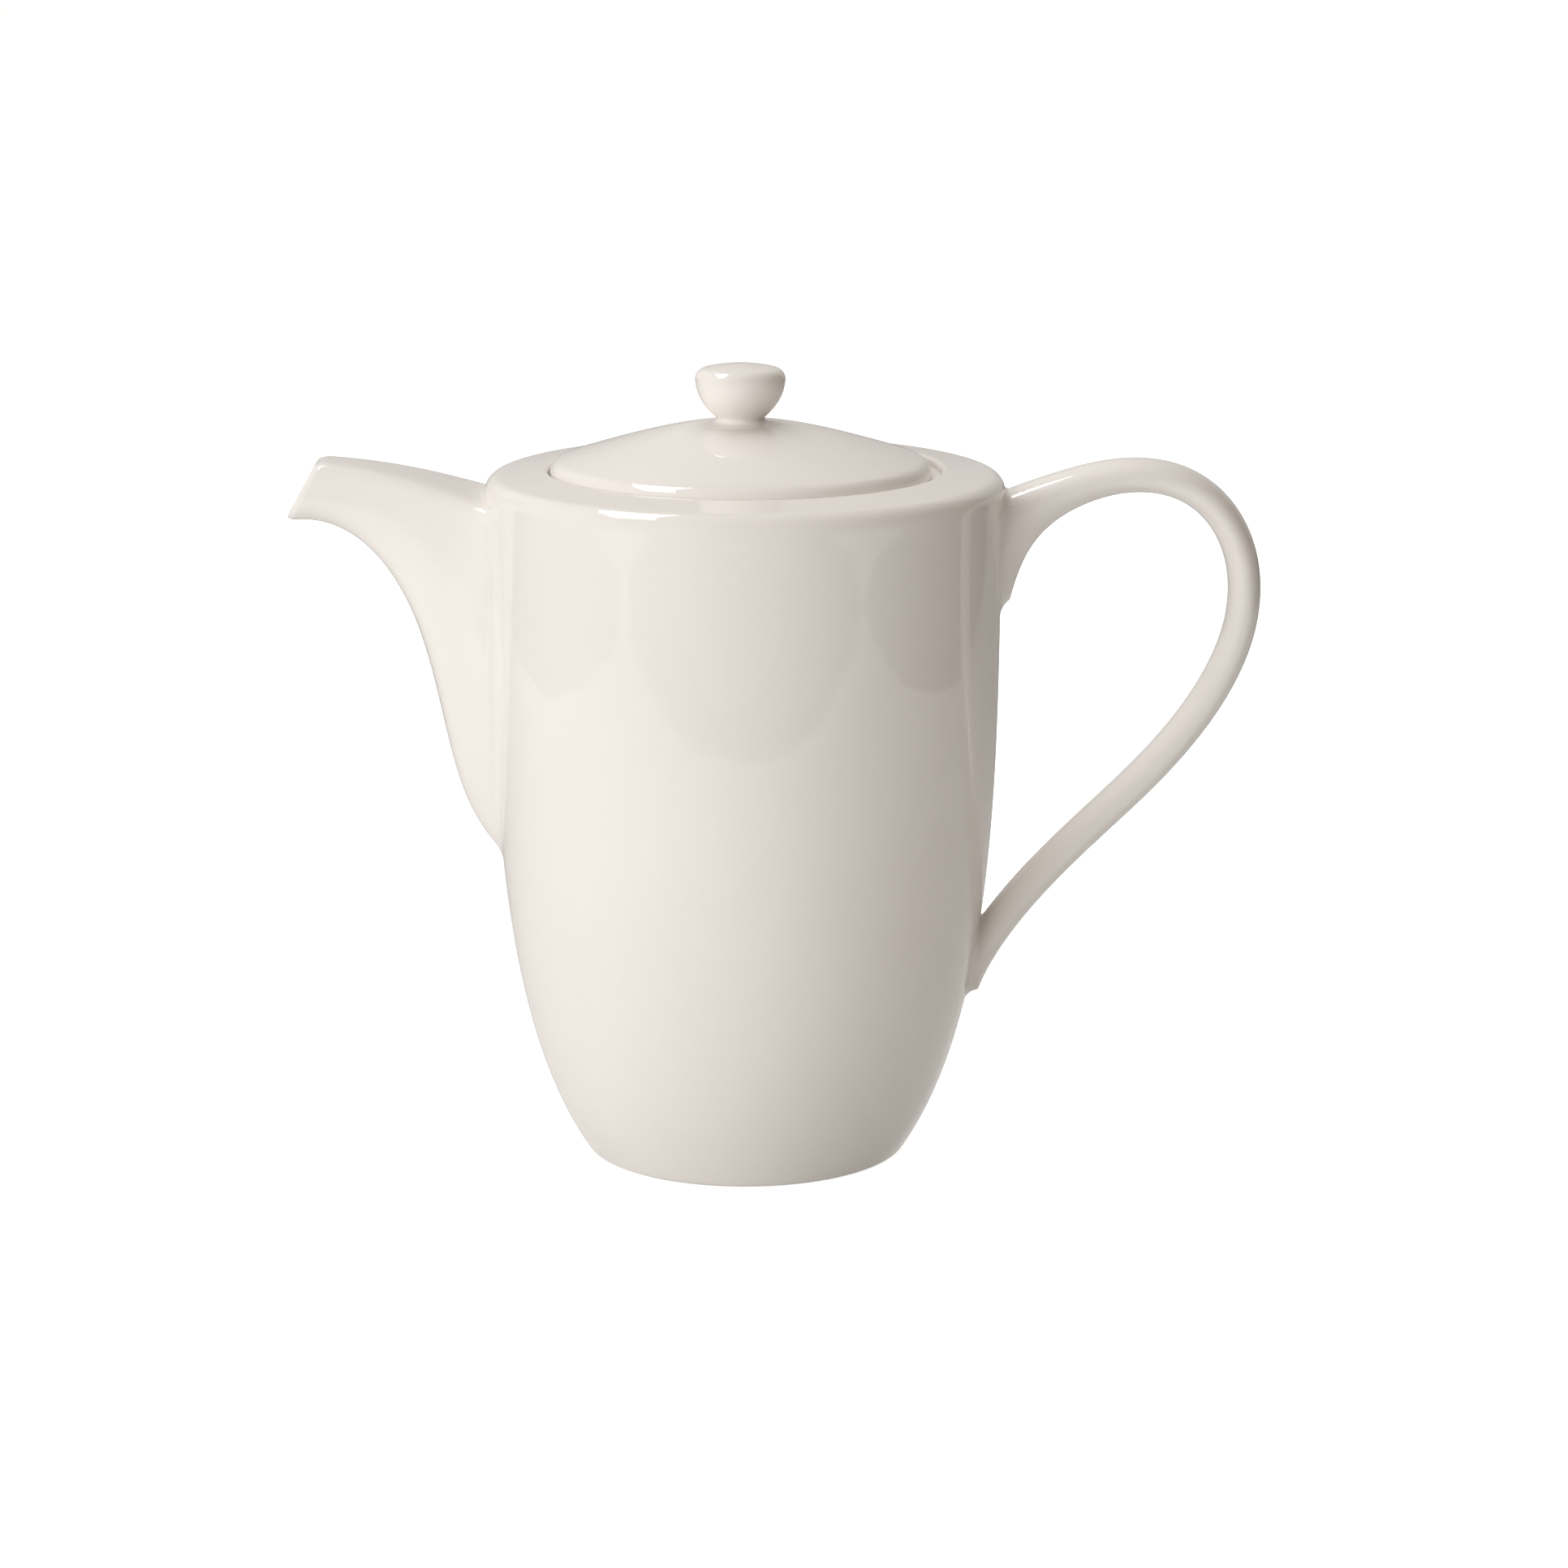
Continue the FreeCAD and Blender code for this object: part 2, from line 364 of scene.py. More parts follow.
def lathe(name, profile, axis_x=0.0, count=lathe_columns):
    """Closed solid turned about an upright axis from a profile that starts and ends on it."""
    turn = np.arange(count) * 2 * math.pi / count
    radius, height = profile[1:-1, 0, None], profile[1:-1, 1, None]
    rings = np.stack([
        axis_x + radius * np.cos(turn),
        radius * np.sin(turn),
        height + 0 * turn,
    ], axis=-1)
    points = np.concatenate([
        rings.reshape(-1, 3),
        [[axis_x, 0, profile[0, 1]], [axis_x, 0, profile[-1, 1]]],
    ])
    rows = len(rings)
    faces = ring_faces(rows, count, False)
    for k in range(count):
        after = (k + 1) % count
        faces.append((rows * count, after, k))
        faces.append((rows * count + 1, (rows - 1) * count + k, (rows - 1) * count + after))
    return make_object(name, points, faces)


def side_curve(inset, top, bottom):
    """Side of the pot from bottom to top, moved in by inset."""
    return bezier((
        bottom,
        (wall_radius + belly_swell - inset, belly_height),
        (wall_radius - waist_inset - inset, shoulder_z - waist_drop),
        top,
    ))


def outside_pieces():
    """Foot, side and top ring of the pot, from the foot ring up to the lid's seat."""
    foot = (foot_radius, 0)
    shoulder = (wall_radius, shoulder_z)
    seat = (seat_radius, pot_height)
    return [
        [(foot_radius - foot_ring_width, 0), foot],
        side_curve(0, shoulder, foot),
        [shoulder, seat],
    ]


def body_profile():
    """Closed half section of the hollow pot."""
    hollow = foot_radius - foot_ring_width
    ceiling_z = ledge_z - ledge_thickness
    floor = (foot_radius, foot_recess + base_thickness)
    inner_shoulder = (wall_radius - body_wall, ceiling_z)
    pieces = [
        [(0, foot_recess), (hollow, foot_recess)],
        [(hollow, foot_recess), (hollow, 0)],
        *outside_pieces(),
        [(seat_radius, pot_height), (seat_radius, ledge_z)],
        [(seat_radius, ledge_z), (neck_radius, ledge_z)],
        [(neck_radius, ledge_z), (neck_radius, ceiling_z)],
        [(neck_radius, ceiling_z), inner_shoulder],
        side_curve(body_wall, inner_shoulder, floor)[::-1],
        [floor, (0, floor[1])],
    ]
    rounds = (
        foot_hollow_round, foot_edge_round, foot_round, shoulder_round, seat_round,
        seat_corner_round, ledge_round, ledge_under_round, shoulder_round, floor_round,
    )
    return outline(pieces, rounds)


wall_line = outline(outside_pieces(), (foot_round, shoulder_round), step=wall_step)


def on_wall(points):
    """Nearest points of the pot's outside, the outward normals there and the distances to it."""
    points = np.asarray(points, float)
    flat = points.reshape(-1, 3)
    radius = np.hypot(flat[:, 0], flat[:, 1])
    query = np.stack([radius, flat[:, 2]], axis=1)
    start = wall_line[:-1]
    step = np.diff(wall_line, axis=0)
    best = np.full(len(flat), np.inf)
    foot = np.zeros((len(flat), 2))
    normal = np.zeros((len(flat), 2))
    for a, d in zip(start, step):
        part = np.clip((query - a) @ d / (d @ d), 0, 1)
        near = a + part[:, None] * d
        gap = np.linalg.norm(query - near, axis=1)
        closer = gap < best
        best[closer] = gap[closer]
        foot[closer] = near[closer]
        normal[closer] = np.array([d[1], -d[0]]) / np.linalg.norm(d)
    distance = np.sum((query - foot) * normal, axis=1)
    heading = flat[:, :2] / radius[:, None]
    feet = np.concatenate([heading * foot[:, :1], foot[:, 1:]], axis=1)
    normals = np.concatenate([heading * normal[:, :1], normal[:, 1:]], axis=1)
    return feet.reshape(points.shape), normals.reshape(points.shape), distance.reshape(points.shape[:-1])


def oval(middle, up, half_up, half_down, half_width, top_full, low_full, turn):
    """Points of egg-shaped sections of four arcs; turn runs from 0 at +Y over the top to 1."""
    quarter = (turn * 4).astype(int) % 4
    fullness = np.where(quarter < 2, top_full, low_full)
    t = turn * 4 - quarter
    none = np.zeros_like(half_up)
    side_start = np.array([1, 0, -1, 0])[quarter]
    side_end = np.array([0, -1, 0, 1])[quarter]
    up_start = np.choose(quarter, [none, half_up, none, -half_down])
    up_end = np.choose(quarter, [half_up, none, -half_down, none])
    pull = 2 * t * (1 - t) * fullness * math.sqrt(0.5)
    total = (1 - t) ** 2 + pull + t ** 2
    first = ((1 - t) ** 2 + pull) / total
    second = (t ** 2 + pull) / total
    side = (first * side_start + second * side_end) * half_width
    lift = first * up_start + second * up_end
    return middle + side[..., None] * np.array([0, 1, 0]) + lift[..., None] * up


def mix(start, end, share):
    return start + (end - start) * share


def in_plane(pairs):
    """Points of the XZ plane."""
    return [(x, 0, z) for x, z in pairs]


def spout_point(share, turn, root_inset=0.0, mouth_inset=0.0, flare=0.0):
    """Points of the beak's skin; share runs from inside the pot to the mouth."""
    root_x = spout_root_depth - wall_radius
    crest = in_plane(
        [(root_x, shoulder_z - crest_drop)]
        + [(-wall_radius - out, shoulder_z + height) for out, height in crest_poles]
        + [(-wall_radius - mouth_reach, shoulder_z + mouth_rise)]
    )
    keel = in_plane(
        [(root_x, chin_height)]
        + [(-wall_radius - out, chin_height + height) for out, height in chin_poles]
        + [(-wall_radius - out, shoulder_z + height) for out, height in throat_poles]
        + [(-wall_radius - lip_reach, shoulder_z - lip_drop)]
    )
    top = spline(crest, share)
    low = spline(keel, share)
    up = unit(top - low)
    rise = np.linalg.norm(top - low, axis=-1)
    depth = mix(root_top_depth, mouth_top_depth, share)
    middle = top - up * depth[..., None]
    half_width = mix(spout_root_width, mouth_width, share) / 2
    wall_x = -np.sqrt(wall_radius ** 2 - half_width ** 2)
    spread = flare * np.exp(-np.maximum(wall_x - middle[..., 0], 0) / spout_flare_length)
    inset = mix(root_inset, mouth_inset, share)
    return oval(
        middle,
        up,
        depth - inset,
        rise - depth - inset,
        half_width + spread - inset,
        mix(root_top_fullness, mouth_top_fullness, share),
        mix(root_flank_fullness, mouth_flank_fullness, share),
        turn,
    )


def handle_spine():
    root_x = wall_radius - handle_root_depth
    return in_plane(
        [(root_x, shoulder_z - handle_drop)]
        + [(wall_radius + out, shoulder_z + height) for out, height in arch_poles]
        + [(wall_radius + out, handle_low + height) for out, height in return_poles]
        + [(root_x, handle_low)]
    )


def handle_point(share, turn):
    """Points of the loop's skin; share runs from its upper root to its lower root."""
    spine = handle_spine()
    ticks = np.linspace(0, 1, spine_ticks)
    steps = np.linalg.norm(np.diff(spline(spine, ticks), axis=0), axis=1)
    runs = np.concatenate([[0], np.cumsum(steps)])
    length = runs[-1]
    run = np.interp(share, ticks, runs)
    after = spline(spine, np.minimum(share + nudge, 1))
    before = spline(spine, np.maximum(share - nudge, 0))
    up = unit(np.cross(after - before, (0, 1, 0)))
    gusset = root_gusset * np.exp(-run / root_gusset_length)
    thicker = heel * np.exp((run - length) / heel_length)
    spread = handle_flare * np.exp(-np.minimum(run, length - run) / handle_flare_length)
    return oval(
        spline(spine, share),
        up,
        handle_thickness / 2 + thicker,
        handle_thickness / 2 + gusset,
        handle_width / 2 + spread,
        handle_fullness,
        handle_fullness,
        turn,
    )


def reach_wall(skin, turn, free, root, height):
    """Shares at which the lines of a skin, coming from its free part, reach a height above the wall."""
    shares = np.linspace(free, root, search_steps)
    grid = np.broadcast_to(shares[:, None], (len(shares), len(turn)))
    gap = on_wall(skin(grid, np.broadcast_to(turn, grid.shape)))[2] - height
    first = np.argmax(gap < 0, axis=0)
    meets = first > 0
    outer = np.where(meets, shares[first - 1], root)
    inner = np.where(meets, shares[first], root)
    for _ in range(search_halvings):
        middle = (outer + inner) / 2
        above = on_wall(skin(middle, turn))[2] > height
        outer = np.where(above, middle, outer)
        inner = np.where(above, inner, middle)
    return (outer + inner) / 2


def evened(values, passes=12):
    """Values round a ring, smoothed a little along it."""
    for _ in range(passes):
        values = (np.roll(values, 1, axis=0) + 2 * values + np.roll(values, -1, axis=0)) / 4
    return values


def root_fillet(skin, share, turn, root, slide, reach):
    """Rows that lead the lines of a skin from a share near the wall smoothly out onto the wall."""
    ahead = nudge if root > 0.5 else -nudge
    edge = skin(share, turn)
    heading = unit(edge - skin(share - ahead, turn))
    feet, normals, gap = on_wall(edge)
    ring = np.roll(feet, -1, axis=0) - np.roll(feet, 1, axis=0)
    outward = unit(np.cross(ring, normals))
    centre = feet.mean(axis=0)
    outward = unit(evened(outward * np.sign(np.sum(outward * (feet - centre)))))
    fall = -np.sum(heading * normals, axis=1)
    run = np.sum(heading * outward, axis=1) / np.maximum(fall, 1e-3) * gap
    run = evened(np.where(run > 0, slide * np.tanh(run / slide), run))
    corner = on_wall(feet + outward * run[:, None])[0]
    leg = evened(np.minimum(np.linalg.norm(corner - edge, axis=1), reach))
    rim, rim_normals, _ = on_wall(corner + outward * leg[:, None])
    return conic(edge, corner, rim, root_softness, fillet_rows), rim_normals


def tube_object(name, rows, closed, normals):
    """Tube of rows of points; the normals of some rows follow the wall that they run out on."""
    count = rows.shape[1]
    faces = ring_faces(len(rows), count, True) if closed else capped_faces(len(rows), count)
    piece = make_object(name, rows.reshape(-1, 3), faces)
    shading = np.array([normal.vector for normal in piece.data.vertex_normals]).reshape(rows.shape)
    for row, values in normals.items():
        shading[row] = values
    piece.data.normals_split_custom_set_from_vertices(shading.reshape(-1, 3).tolist())
    return piece


def around(count):
    return np.arange(count) / count


def by_turn(turn, side, top, bottom):
    """Value for each turn that goes smoothly between the sides, the top and the bottom of a section."""
    swing = np.sin(turn * 2 * math.pi)
    return side + (top - side) * np.maximum(swing, 0) ** 2 + (bottom - side) * np.maximum(-swing, 0) ** 2


def spread_rows(start, end, count):
    """Rows of shares from one ring of shares to another."""
    return start + (end - start) * np.linspace(0, 1, count)[:, None]


def back_from(skin, turn, distance):
    """Shares at given distances before the mouth along the lines of a skin."""
    shares = np.linspace(1, lip_zone, search_steps)
    grid = np.broadcast_to(shares[:, None], (len(shares), len(turn)))
    points = skin(grid, np.broadcast_to(turn, grid.shape))
    steps = np.linalg.norm(np.diff(points, axis=0), axis=2)
    run = np.concatenate([np.zeros((1, len(turn))), np.cumsum(steps, axis=0)])
    return np.array([np.interp(d, run[:, k], shares) for k, d in enumerate(distance)])


def channel_point(share, turn):
    return spout_point(share, turn, root_inset=spout_wall, mouth_inset=lip_wall)


def beak_point(share, turn):
    return spout_point(share, turn, flare=spout_flare)


def build_body():
    """The hollow pot, with the hole that leads into the spout."""
    body = lathe("glazed_pot_body", body_profile())
    turn = around(hole_columns)
    shares = spread_rows(np.zeros_like(turn), np.full_like(turn, hole_share), hole_rows)
    skin = channel_point(shares, np.broadcast_to(turn, shares.shape))
    cutter = make_object("pour_hole", skin.reshape(-1, 3), capped_faces(hole_rows, hole_columns))
    cut = body.modifiers.new("pour_hole", "BOOLEAN")
    cut.operation = "DIFFERENCE"
    cut.solver = "EXACT"
    cut.object = cutter
    bpy.context.view_layer.update()
    evaluated = body.evaluated_get(bpy.context.evaluated_depsgraph_get())
    mesh = bpy.data.meshes.new_from_object(evaluated)
    body.modifiers.clear()
    body.data = mesh
    bpy.data.objects.remove(cutter)
    mesh.set_sharp_from_angle(angle=math.radians(hole_edge_angle))
    return body


def build_spout():
    """The hollow beak: skin, soft root on the wall, rounded lips and channel, as one closed surface."""
    turn = around(spout_columns)
    near = by_turn(turn, side=2.0, top=1.2, bottom=1.6)
    root = reach_wall(beak_point, turn, 1.0, 0.0, near)
    channel_root = reach_wall(channel_point, turn, 1.0, 0.0, np.full_like(turn, -channel_sink))
    lip_back = by_turn(turn, side=1.5, top=2.6, bottom=3.0)
    lip_face = by_turn(turn, side=1.2, top=1.4, bottom=1.7)
    throat_back = np.full_like(turn, throat_round)
    outer_edge = back_from(beak_point, turn, lip_back)
    inner_edge = back_from(channel_point, turn, throat_back)
    mouth = np.ones_like(turn)
    outer_corner = beak_point(mouth, turn)
    inner_corner = channel_point(mouth, turn)
    across = inner_corner - outer_corner
    width = np.linalg.norm(across, axis=1)
    face_start = outer_corner + across * (lip_face / width)[:, None]
    throat_face = np.minimum(throat_back, throat_share * (width - lip_face))
    face_end = inner_corner - across * (throat_face / width)[:, None]

    skin_shares = spread_rows(outer_edge, root, spout_rows)
    skin = beak_point(skin_shares, np.broadcast_to(turn, skin_shares.shape))
    channel_shares = spread_rows(channel_root, inner_edge, channel_rows)
    channel = channel_point(channel_shares, np.broadcast_to(turn, channel_shares.shape))
    fillet, wall_normals = root_fillet(beak_point, root, turn, 0.0, spout_slide, spout_fillet_reach)
    lip_in = conic(channel[-1], inner_corner, face_end, lip_in_softness, lip_in_rows)
    lip_out = conic(face_start, outer_corner, skin[0], lip_out_softness, lip_out_rows)
    skirt = fillet[-1] - wall_normals * skirt_depth
    rows = np.concatenate([channel, lip_in[1:], lip_out, skin[1:], fillet[1:], skirt[None]])
    return tube_object("glazed_spout", rows, True, {len(rows) - 2: wall_normals})


def build_handle():
    """The loop, with both roots led softly onto the wall."""
    turn = around(handle_columns)
    upper_near = by_turn(turn, side=2.2, top=1.2, bottom=2.3)
    lower_near = by_turn(turn, side=2.0, top=2.6, bottom=1.1)
    upper = reach_wall(handle_point, turn, 0.5, 0.0, upper_near)
    lower = reach_wall(handle_point, turn, 0.5, 1.0, lower_near)
    shares = spread_rows(upper, lower, handle_rows)
    skin = handle_point(shares, np.broadcast_to(turn, shares.shape))
    upper_fillet, upper_normals = root_fillet(
        handle_point, upper, turn, 0.0, upper_slide, upper_fillet_reach,
    )
    lower_fillet, lower_normals = root_fillet(
        handle_point, lower, turn, 1.0, lower_slide, lower_fillet_reach,
    )
    upper_skirt = upper_fillet[-1] - upper_normals * skirt_depth
    lower_skirt = lower_fillet[-1] - lower_normals * skirt_depth
    rows = np.concatenate([
        upper_skirt[None], upper_fillet[:0:-1], skin, lower_fillet[1:], lower_skirt[None],
    ])
    return tube_object("glazed_handle", rows, False, {1: upper_normals, len(rows) - 2: lower_normals})


def dome_curve(rim, crown):
    slope = math.radians(dome_slope)
    leave = (rim[0] - math.cos(slope) * dome_shoulder, rim[1] + math.sin(slope) * dome_shoulder)
    return bezier((rim, leave, (crown[0] + dome_crown, crown[1] - crown_fall), crown))


def lid_axis():
    low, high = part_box("lid")
    return (low.x + high.x) / 2 / MM


def build_lid():
    """The dome with its rim and the collar that drops into the neck."""
    flat = (crown_radius, lid_flat_z)
    rim = (lid_radius, rim_corner_z)
    collar_low = ledge_z - collar_depth
    collar_inner = collar_radius - collar_wall
    rise = (lid_radius - collar_inner) * math.tan(math.radians(dome_slope))
    hollow_edge = (collar_inner, rim_corner_z + rise - lid_wall)
    hollow_top = (crown_radius, lid_flat_z - lid_wall)
    crown = np.concatenate([[(0, lid_flat_z)], dome_curve(rim, flat)[::-1]])
    hollow = np.concatenate([dome_curve(hollow_edge, hollow_top), [(0, hollow_top[1])]])
    pieces = [
        crown,
        [rim, (lid_radius, ledge_z)],
        [(lid_radius, ledge_z), (collar_radius, ledge_z)],
        [(collar_radius, ledge_z), (collar_radius, collar_low)],
        [(collar_radius, collar_low), (collar_inner, collar_low)],
        [(collar_inner, collar_low), hollow_edge],
        hollow,
    ]
    rounds = (rim_round, rim_under_round, collar_corner_round, collar_round, collar_round, hollow_round)
    return lathe("glazed_lid", outline(pieces, rounds, step=1.0), lid_axis())


def build_knob():
    """Turned knob, with its glaze run out on the lid."""
    neck = (knob_neck_radius, lid_flat_z + knob_neck_height)
    bowl = (knob_radius, neck[1] + knob_bowl_height)
    rim = (knob_radius, lid_flat_z + knob_height - knob_crown_rise)
    crown_z = lid_flat_z + knob_height
    foot = (knob_neck_radius + knob_foot_reach, lid_flat_z)
    under = (foot[0], lid_flat_z - knob_sink)
    sunk = [(0, under[1]), under]
    foot_curve = bezier((foot, (knob_neck_radius, foot[1]), neck), 40)
    bowl_curve = bezier((neck, (bowl[0], bowl[1] - knob_bowl_turn), bowl))
    side = np.concatenate([foot_curve, bowl_curve[1:], [rim]])
    crown = bezier((rim, (knob_radius / 2, crown_z), (0, crown_z)))
    rounds = (knob_sink_round, knob_foot_round, knob_rim_round)
    knob = outline([sunk, [under, foot], side, crown], rounds, step=0.5)
    return lathe("glazed_lid_knob", knob, lid_axis(), count=knob_columns)


def new_material(name):
    """Empty node material; gives its node tree, its principled shader and a maker of nodes."""
    material = bpy.data.materials.new(name)
    material.use_nodes = True
    tree = material.node_tree
    shader = tree.nodes["Principled BSDF"]

    def node(kind, **values):
        made = tree.nodes.new(kind)
        for key, value in values.items():
            if key in made.inputs:
                made.inputs[key].default_value = value
            else:
                setattr(made, key, value)
        return made

    return material, tree, shader, node


def two_tone(node, low, high, spread=(0.0, 1.0)):
    """Ramp between two colours over a spread of its input."""
    ramp = node("ShaderNodeValToRGB")
    for element, color, position in zip(ramp.color_ramp.elements, (low, high), spread):
        element.position = position
        element.color = color
    return ramp


def glaze_material():
    """Clear glaze on ivory porcelain: faint clouds of colour, rare specks and a slightly uneven surface."""
    material, tree, shader, node = new_material("glazed_porcelain")
    link = tree.links.new
    place = node("ShaderNodeTexCoord")
    clouds = node("ShaderNodeTexNoise", Scale=cloud_scale, Detail=2.0, Roughness=0.5)
    tint = two_tone(node, glaze_low, glaze_high, cloud_range)
    link(place.outputs["Object"], clouds.inputs["Vector"])
    link(clouds.outputs["Fac"], tint.inputs["Fac"])

    cells = node("ShaderNodeTexVoronoi", Scale=speck_scale, Randomness=1.0)
    near = node("ShaderNodeMath", operation="LESS_THAN")
    near.inputs[1].default_value = speck_size
    pick = node("ShaderNodeSeparateColor")
    rare = node("ShaderNodeMath", operation="GREATER_THAN")
    rare.inputs[1].default_value = speck_rarity
    speck = node("ShaderNodeMath", operation="MULTIPLY")
    faint = node("ShaderNodeMath", operation="MULTIPLY")
    faint.inputs[1].default_value = speck_strength
    paint = node("ShaderNodeMix", data_type="RGBA")
    paint.inputs["B"].default_value = speck_color
    link(place.outputs["Object"], cells.inputs["Vector"])
    link(cells.outputs["Distance"], near.inputs[0])
    link(cells.outputs["Color"], pick.inputs["Color"])
    link(pick.outputs["Red"], rare.inputs[0])
    link(near.outputs["Value"], speck.inputs[0])
    link(rare.outputs["Value"], speck.inputs[1])
    link(speck.outputs["Value"], faint.inputs[0])
    link(faint.outputs["Value"], paint.inputs["Factor"])
    link(tint.outputs["Color"], paint.inputs["A"])
    link(paint.outputs["Result"], shader.inputs["Base Color"])

    sheen = node("ShaderNodeMapRange")
    sheen.inputs["To Min"].default_value = gloss_range[0]
    sheen.inputs["To Max"].default_value = gloss_range[1]
    link(clouds.outputs["Fac"], sheen.inputs["Value"])
    link(sheen.outputs["Result"], shader.inputs["Roughness"])

    waves = node("ShaderNodeTexNoise", Scale=wave_scale, Detail=1.0, Roughness=0.4)
    bump = node("ShaderNodeBump", Strength=1.0, Distance=wave_height)
    link(place.outputs["Object"], waves.inputs["Vector"])
    link(waves.outputs["Fac"], bump.inputs["Height"])
    link(bump.outputs["Normal"], shader.inputs["Normal"])
    shader.inputs["IOR"].default_value = glaze_ior
    return material


def bare_material():
    """Unglazed porcelain of the foot ring."""
    material, tree, shader, node = new_material("bare_porcelain")
    link = tree.links.new
    place = node("ShaderNodeTexCoord")
    grain = node("ShaderNodeTexNoise", Scale=grain_scale, Detail=3.0)
    tint = two_tone(node, bare_low, bare_high)
    bump = node("ShaderNodeBump", Strength=grain_strength, Distance=grain_height)
    link(place.outputs["Object"], grain.inputs["Vector"])
    link(grain.outputs["Fac"], tint.inputs["Fac"])
    link(tint.outputs["Color"], shader.inputs["Base Color"])
    link(grain.outputs["Fac"], bump.inputs["Height"])
    link(bump.outputs["Normal"], shader.inputs["Normal"])
    shader.inputs["Roughness"].default_value = bare_roughness
    return material


def dress():
    """Make the five pieces, give them their finish and let them ride on their bodies."""
    glaze = glaze_material()
    bare = bare_material()
    pieces = (
        (build_body(), "pot_body", "pot"),
        (build_spout(), "spout", "pot"),
        (build_handle(), "handle", "pot"),
        (build_lid(), "lid", "lid"),
        (build_knob(), "lid_knob", "lid"),
    )
    for piece, node, body in pieces:
        piece.data.materials.clear()
        piece.data.materials.append(glaze)
        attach(piece, body)
        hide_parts(node)
    body_mesh = pieces[0][0].data
    body_mesh.materials.append(bare)
    for face in body_mesh.polygons:
        if all(body_mesh.vertices[k].co.z < wiped_height * MM for k in face.vertices):
            face.material_index = 1


def emission_for_sight(node, link, strength):
    """Emission that only the camera and mirror-like rays see."""
    path = node("ShaderNodeLightPath")
    seen = node("ShaderNodeMath", operation="ADD", use_clamp=True)
    level = node("ShaderNodeMath", operation="MULTIPLY")
    level.inputs[1].default_value = strength
    glow = node("ShaderNodeEmission")
    link(path.outputs["Is Camera Ray"], seen.inputs[0])
    link(path.outputs["Is Glossy Ray"], seen.inputs[1])
    link(seen.outputs["Value"], level.inputs[0])
    link(level.outputs["Value"], glow.inputs["Strength"])
    return glow


def flat_object(name, low, high, height):
    corners = [(low[0], low[1]), (high[0], low[1]), (high[0], high[1]), (low[0], high[1])]
    mesh = bpy.data.meshes.new(name)
    mesh.from_pydata([(x, y, height) for x, y in corners], [], [(0, 1, 2, 3)])
    made = bpy.data.objects.new(name, mesh)
    bpy.context.scene.collection.objects.link(made)
    return made


def turned_to(place, target, long_axis):
    """Placement that looks from a place at a target, with its long side along an axis."""
    back = (Vector(place) - Vector(target)).normalized()
    across = Vector(long_axis).cross(back).normalized()
    upward = back.cross(across)
    return Matrix.Translation(place) @ Matrix((across, upward, back)).transposed().to_4x4()


def glare_material(name, color, strength, fall=None):
    """Plain glow for a card; fall is its strength at the back and the places between which it changes."""
    material, tree, shader, node = new_material(name)
    tree.nodes.remove(shader)
    link = tree.links.new
    glow = node("ShaderNodeEmission", Color=color, Strength=strength)
    if fall:
        place = node("ShaderNodeTexCoord")
        split = node("ShaderNodeSeparateXYZ")
        change = node("ShaderNodeMapRange", interpolation_type="SMOOTHSTEP")
        change.inputs["From Min"].default_value = fall[1]
        change.inputs["From Max"].default_value = fall[2]
        change.inputs["To Min"].default_value = strength
        change.inputs["To Max"].default_value = fall[0]
        link(place.outputs["Object"], split.inputs["Vector"])
        link(split.outputs["Y"], change.inputs["Value"])
        link(change.outputs["Result"], glow.inputs["Strength"])
    link(glow.outputs["Emission"], tree.nodes["Material Output"].inputs["Surface"])
    return material


def glaze_only(card, material):
    """A card that only mirror-like rays meet, so that it shows in the glaze and nowhere else."""
    card.data.materials.append(material)
    card.visible_camera = False
    card.visible_diffuse = False
    card.visible_transmission = False
    card.visible_shadow = False


def build_floor():
    """White floor that runs far back."""
    floor = flat_object("floor", (-floor_half, -floor_half), (floor_half, floor_half), floor_height)
    material, tree, shader, node = new_material("white_floor")
    tree.nodes.remove(shader)
    link = tree.links.new
    paper = node("ShaderNodeBsdfDiffuse", Color=floor_color)
    glow = emission_for_sight(node, link, floor_glow)
    both = node("ShaderNodeAddShader")
    link(paper.outputs["BSDF"], both.inputs[0])
    link(glow.outputs["Emission"], both.inputs[1])
    link(both.outputs["Shader"], tree.nodes["Material Output"].inputs["Surface"])
    floor.data.materials.append(material)


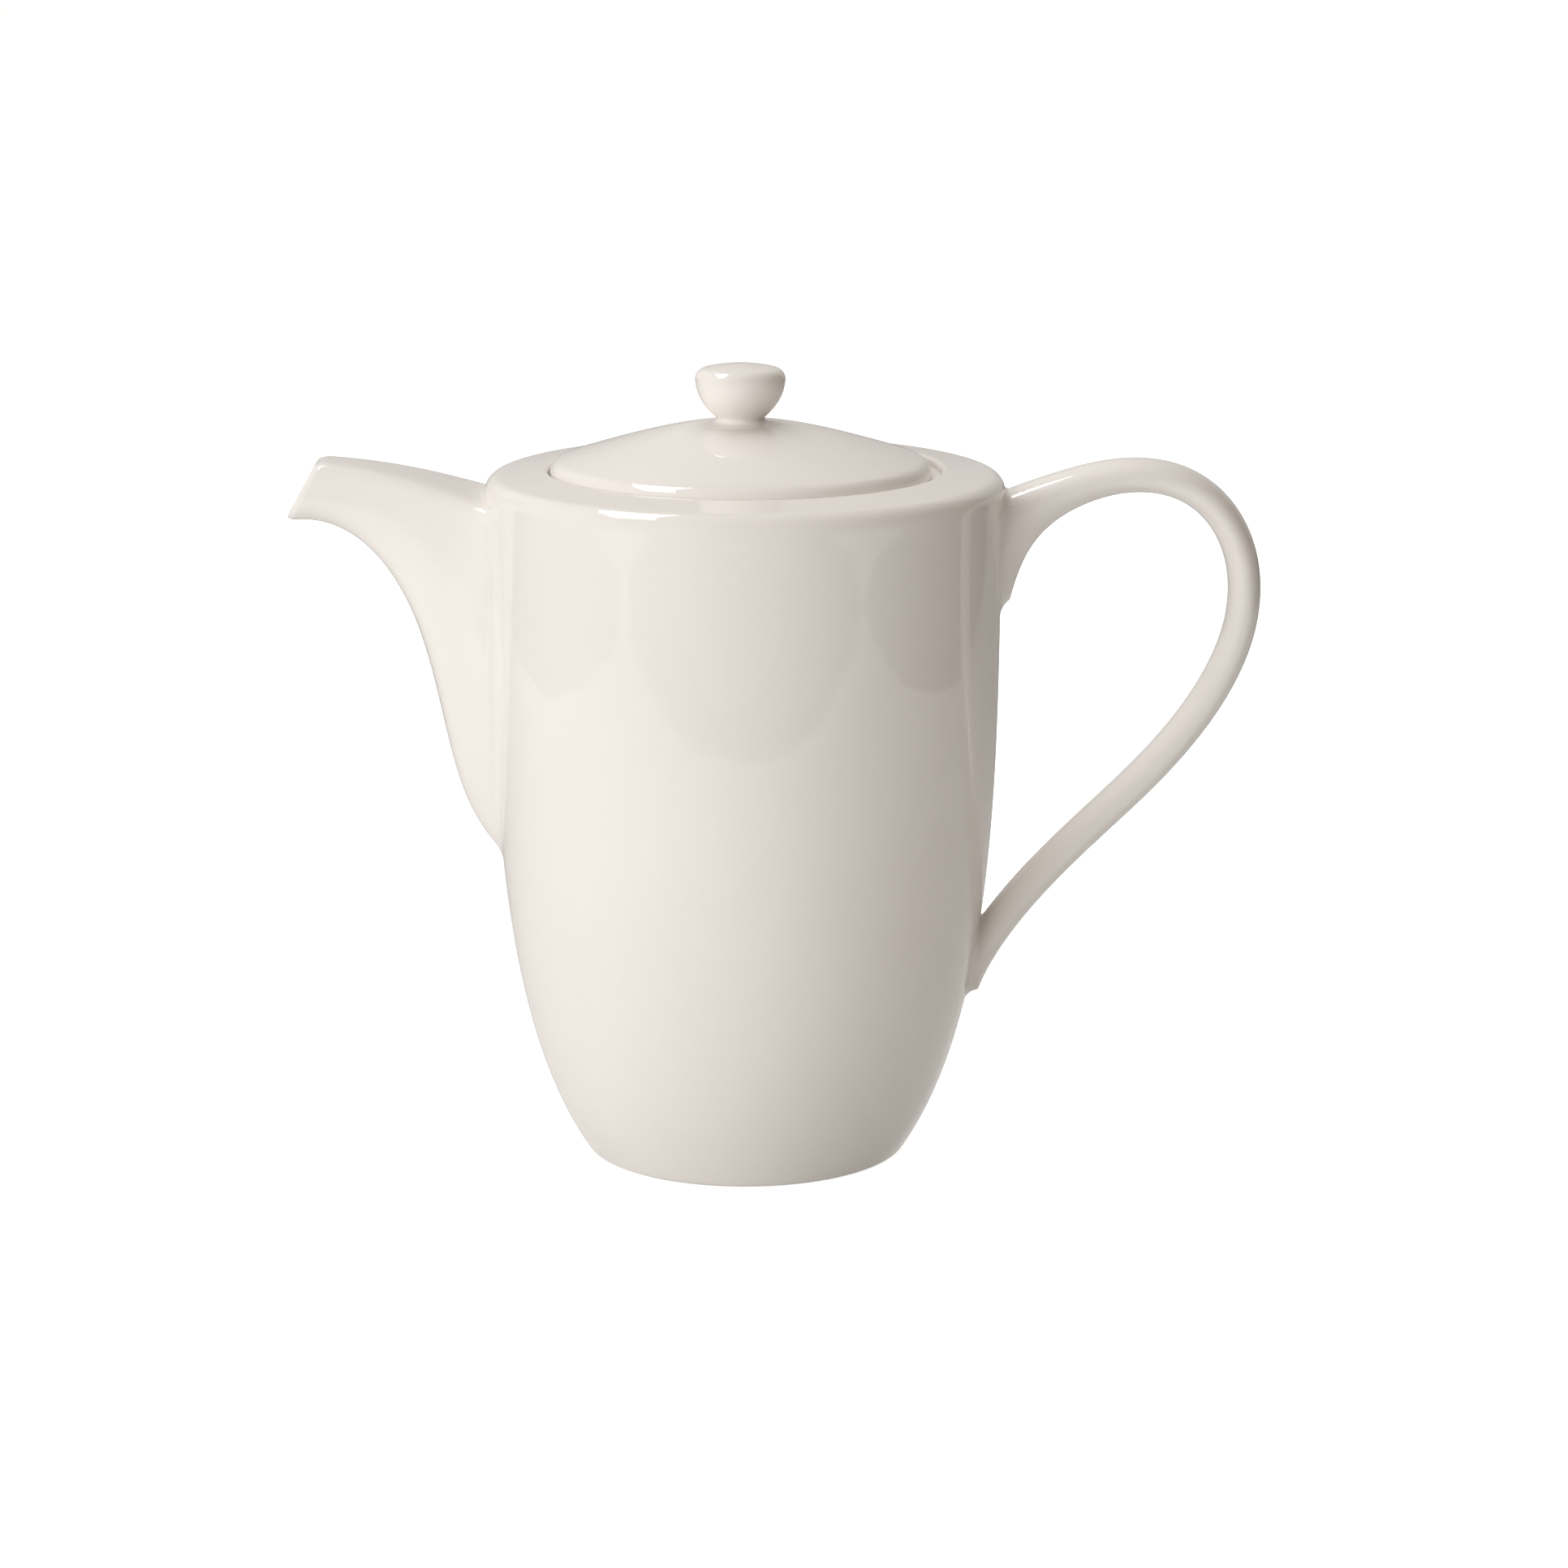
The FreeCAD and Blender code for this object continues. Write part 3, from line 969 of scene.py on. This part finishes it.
def build_cards():
    """Table, dark room and back wall that show in the glaze."""
    table = glare_material("table_glare", table_color, table_glare, fall=table_fall)
    room = glare_material("room_glare", room_color, room_glare)
    far = table_far
    cards = (
        ("card_table", (-table_side, table_front), (table_side, far), table),
        ("card_front", (-far, -far), (far, table_front), room),
        ("card_left", (-far, table_front), (-table_side, far), room),
        ("card_right", (table_side, table_front), (far, far), room),
    )
    for name, low, high, material in cards:
        glaze_only(flat_object(name, low, high, card_height), material)
    wall_low = (-back_half_width, -back_half_height)
    wall_high = (back_half_width, back_half_height)
    wall = flat_object("card_back", wall_low, wall_high, 0)
    wall_middle = (0, back_distance, back_half_height)
    wall.matrix_world = turned_to(wall_middle, (0, 0, back_half_height), upright)
    glaze_only(wall, glare_material("back_glare", back_color, back_glare))


def area_lamp(name, place, target, size, power, long_axis):
    """Rectangular lamp that looks at a target and doesn't show in the glaze."""
    data = bpy.data.lights.new(name, "AREA")
    data.shape = "RECTANGLE"
    data.size, data.size_y = size
    data.energy = power
    lamp = bpy.data.objects.new(name, data)
    lamp.matrix_world = turned_to(place, target, long_axis)
    lamp.visible_glossy = False
    bpy.context.scene.collection.objects.link(lamp)


def build_light():
    """Lamp overhead, a softbox that shows in the glaze, a broad key from the left and a dim warm room."""
    area_lamp("overhead", overhead_place, overhead_target, overhead_size, overhead_power, backward)
    wide, long = (value / 2 for value in softbox_size)
    face = flat_object("softbox_face", (-wide, -long), (wide, long), 0)
    face.matrix_world = turned_to(softbox_place, softbox_target, softbox_long_axis)
    glaze_only(face, glare_material("softbox_glare", softbox_color, softbox_glare))
    area_lamp("key", key_place, key_target, key_size, key_power, upright)
    world = bpy.data.worlds.new("room")
    bpy.context.scene.world = world
    world.use_nodes = True
    room = world.node_tree.nodes["Background"]
    room.inputs["Color"].default_value = world_color
    room.inputs["Strength"].default_value = world_strength


def build_camera():
    data = bpy.data.cameras.new("camera")
    data.sensor_width = camera_sensor
    data.lens = camera_lens
    camera = bpy.data.objects.new("camera", data)
    camera.location = Vector(camera_place) * MM
    camera.rotation_euler = (math.radians(90 - camera_pitch), 0, 0)
    bpy.context.scene.collection.objects.link(camera)
    bpy.context.scene.camera = camera


dress()
build_floor()
build_cards()
build_light()
build_camera()
bpy.context.scene.view_settings.view_transform = "Standard"
